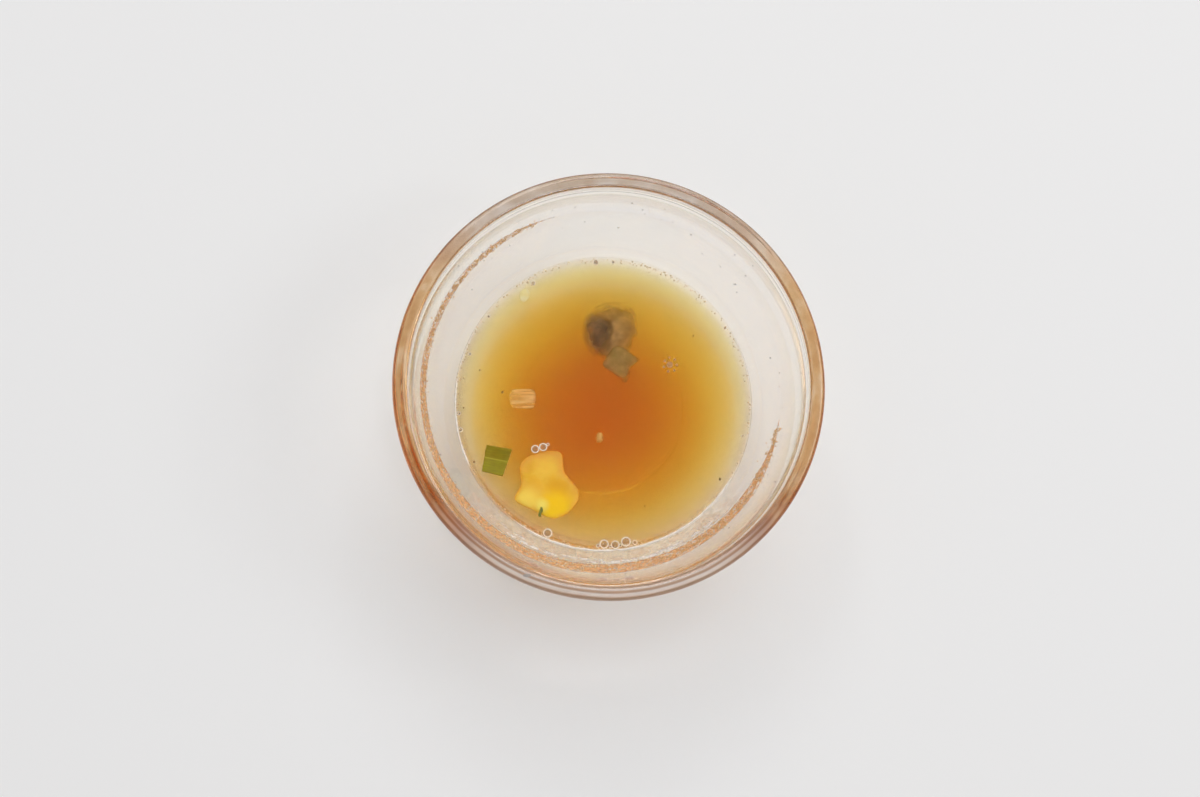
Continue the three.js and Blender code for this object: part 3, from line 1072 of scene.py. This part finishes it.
def band_half(angle):
    """Half the ring's width, which is widest on the near side."""
    return BAND_HALF * (0.85 + 0.4 * math.cos(math.radians(angle - BAND_WIDEST))
                        + 0.1 * wobble(angle, 0, 0, 14, 5))


def make_reflection_ring():
    """The tan ring on the wall, a painted reflection of the broth's edge in the glass."""
    body = wall_film(BAND_START, BAND_END, lambda a: band_level(a) - band_half(a),
                     lambda a: band_level(a) + band_half(a), 0.05 * MM, 0.08 * MM)
    piece("painted_reflection_ring", body, film_look("painted_reflection_tan", (
        (0.35, srgb(222, 156, 96)), (0.5, srgb(236, 182, 126)), (0.66, srgb(252, 222, 184))),
        0.7 * MM, (0.36, 0.64, 0.15, 0.95), (-5 * MM, 35 * MM, 0.4)))


def make_reflection_ring_beads():
    """Fine drops scattered over the ring, painted reflections of the beads at the broth's edge."""
    draw = random.Random(23)
    drops = []
    for k in range(BAND_DROPS):
        angle = draw.uniform(BAND_START + 3, BAND_END - 6)
        height = band_level(angle) + draw.gauss(0, 0.55) * band_half(angle)
        radius = draw.choice((0.1, 0.13, 0.18, 0.26)) * MM
        drops.append(ball(wall_point(angle, height, 0.13 * MM), radius, (1, 1, 1), 8, 5))
    look = droplet_look("painted_reflection_beads", srgb(250, 214, 160), 0.3)
    piece("painted_reflection_beads", joined(drops), look)


def make_wall_haze():
    """A thin haze between the ring and the broth."""
    body = wall_film(HAZE_START, HAZE_END, lambda a: LEVEL + 0.9 * MM,
                     lambda a: band_level(a) - 1.2 * band_half(a) - 0.3 * MM, 0.05 * MM, 0.04 * MM)
    piece("wall_haze", body, film_look("haze_tan", (
        (0.35, srgb(222, 190, 156)), (0.65, srgb(244, 224, 200))),
        2.4 * MM, (0.3, 0.7, 0.08, 0.42), (-38 * MM, -22 * MM, 0.0)))


def painted_reflection_streak(start, end, share, half):
    """A short pale streak of painted reflection on the wall, a share of the way from the broth up to the
    ring.
    """
    def middle(angle):
        low, high = LEVEL + 1 * MM, band_level(angle) - band_half(angle)
        return low + (high - low) * share
    return wall_film(start, end, lambda a: middle(a) - half * MM, lambda a: middle(a) + half * MM,
                     0.1 * MM, 0.05 * MM, 60, 4)


def make_painted_reflection_streaks():
    # Painted reflection: white streaks for the windows' light on the near wall.
    piece("wall_painted_reflections", joined([painted_reflection_streak(*row) for row in PAINTED_REFLECTION_STREAKS]), film_look("painted_reflection_white", (
        (0.4, srgb(240, 236, 232)), (0.6, srgb(255, 252, 248))),
        1.6 * MM, (0.42, 0.62, 0.0, 0.85)))


def make_wall_drops():
    """Clear drops high on the wall."""
    draw = random.Random(31)
    drops = []
    for k in range(WALL_DROPS):
        angle, height = draw.uniform(0, 360), draw.uniform(30, 46) * MM
        radius = draw.choice((0.12, 0.16, 0.2, 0.3)) * MM
        drops.append(ball(wall_point(angle, height, 0), radius, (1, 1, 1), 10, 6))
    look = droplet_look("clear_drops", (0.97, 0.97, 0.96), 0.95)
    piece("wall_drops", joined(drops), look)


def make_rim_glint_drops():
    drops = []
    for angle, size, squash in RIM_GLINT_DROPS:
        x, y = clock(angle)
        reach = RIM_RADIUS - 2.2 * MM
        drops.append(ball((reach * x, reach * y, HEIGHT - 0.45 * MM), size * MM, squash, 20, 12))
    # The drops are partly white: a painted glint of the window on them.
    piece("rim_glint_drops", joined(drops), droplet_look("rim_glint_drops", (1, 1, 1), 0.5, 0.05))


def make_specks():
    """Tiny herb specks on the surface."""
    specks = [ball((x * MM, y * MM, LEVEL - 0.05 * MM), size * MM, (1, 1.3, 0.6), 12, 8)
              for x, y, size in SPECKS]
    look = mottled("speck_brown", ((0.4, srgb(110, 84, 40)), (0.6, srgb(140, 112, 60))), 0.5 * MM)
    piece("herb_specks", joined(specks), look)


# ---- camera, light and table

def make_camera():
    data = bpy.data.cameras.new("camera")
    data.lens = PHOTO_LENS
    data.sensor_width = 36
    data.clip_start, data.clip_end = 0.01, 50
    lean = math.sin(CAMERA_TILT)
    back = Vector((math.sin(CAMERA_TURN) * lean, -math.cos(CAMERA_TURN) * lean,
                   math.cos(CAMERA_TILT)))
    up = Vector((0, 1, 0))
    up = (up - up.dot(back) * back).normalized()
    right = up.cross(back)
    camera = bpy.data.objects.new("camera", data)
    turn = Matrix((right, up, back)).transposed()
    camera.matrix_world = Matrix.Translation(CAMERA_AIM + CAMERA_DISTANCE * back) @ turn.to_4x4()
    bpy.context.scene.collection.objects.link(camera)
    bpy.context.scene.camera = camera


def area_light(name, azimuth, elevation, size, power):
    """A window that looks at the bowl."""
    data = bpy.data.lights.new(name, "AREA")
    data.shape = "RECTANGLE"
    data.size, data.size_y = size
    data.energy = power
    a, e = math.radians(azimuth), math.radians(elevation)
    towards = Vector((math.cos(a) * math.cos(e), math.sin(a) * math.cos(e), math.sin(e)))
    light = bpy.data.objects.new(name, data)
    light.location = towards * WINDOW_DISTANCE
    light.rotation_euler = (-towards).to_track_quat("-Z", "Y").to_euler()
    bpy.context.scene.collection.objects.link(light)


def make_table():
    made, tree, out = material("pale_table")
    principled(tree, out, TABLE_COLOUR, Roughness=0.85, Specular_IOR_Level=0.2)
    mesh = bpy.data.meshes.new("table")
    corners = ((-1, -1), (1, -1), (1, 1), (-1, 1))
    mesh.from_pydata([(TABLE_REACH * x, TABLE_REACH * y, TABLE_LEVEL) for x, y in corners],
                     [], [(0, 1, 2, 3)])
    mesh.materials.append(made)
    table = bpy.data.objects.new("table", mesh)
    bpy.context.scene.collection.objects.link(table)


def make_light():
    """A sky whose brightness depends on height alone, and the windows."""
    world = bpy.data.worlds.new("world")
    bpy.context.scene.world = world
    world.use_nodes = True
    tree = world.node_tree
    background = tree.nodes["Background"]
    background.inputs["Strength"].default_value = SKY_STRENGTH
    split = node(tree, "ShaderNodeSeparateXYZ")
    tree.links.new(node(tree, "ShaderNodeTexCoord").outputs["Generated"], split.inputs[0])
    tree.links.new(ramp(tree, split.outputs["Z"], SKY_STOPS), background.inputs["Color"])
    for window in WINDOWS:
        area_light(*window)


def render_settings():
    scene = bpy.context.scene
    scene.view_settings.view_transform = "Standard"
    scene.view_settings.look = "None"
    cycles = scene.cycles
    cycles.use_denoising = True
    cycles.max_bounces = LIGHT_BOUNCES
    cycles.transmission_bounces = 128
    cycles.glossy_bounces = 128
    cycles.diffuse_bounces = 16
    cycles.volume_bounces = LIGHT_BOUNCES
    cycles.transparent_max_bounces = 32
    cycles.blur_glossy = 0.0
    cycles.sample_clamp_indirect = 6


make_camera()
make_table()
make_light()
make_bowl()
make_broth()
make_haze()
make_cloud()
make_edge_milk_and_painted_light()
make_egg()
make_fleck()
make_leaf()
make_sunk()
make_sliver()
make_bubbles()
make_froth()
make_meniscus_highlight()
make_reflection_ring()
make_reflection_ring_beads()
make_wall_haze()
make_painted_reflection_streaks()
make_rim_highlights()
make_wall_drops()
make_rim_glint_drops()
make_specks()
render_settings()
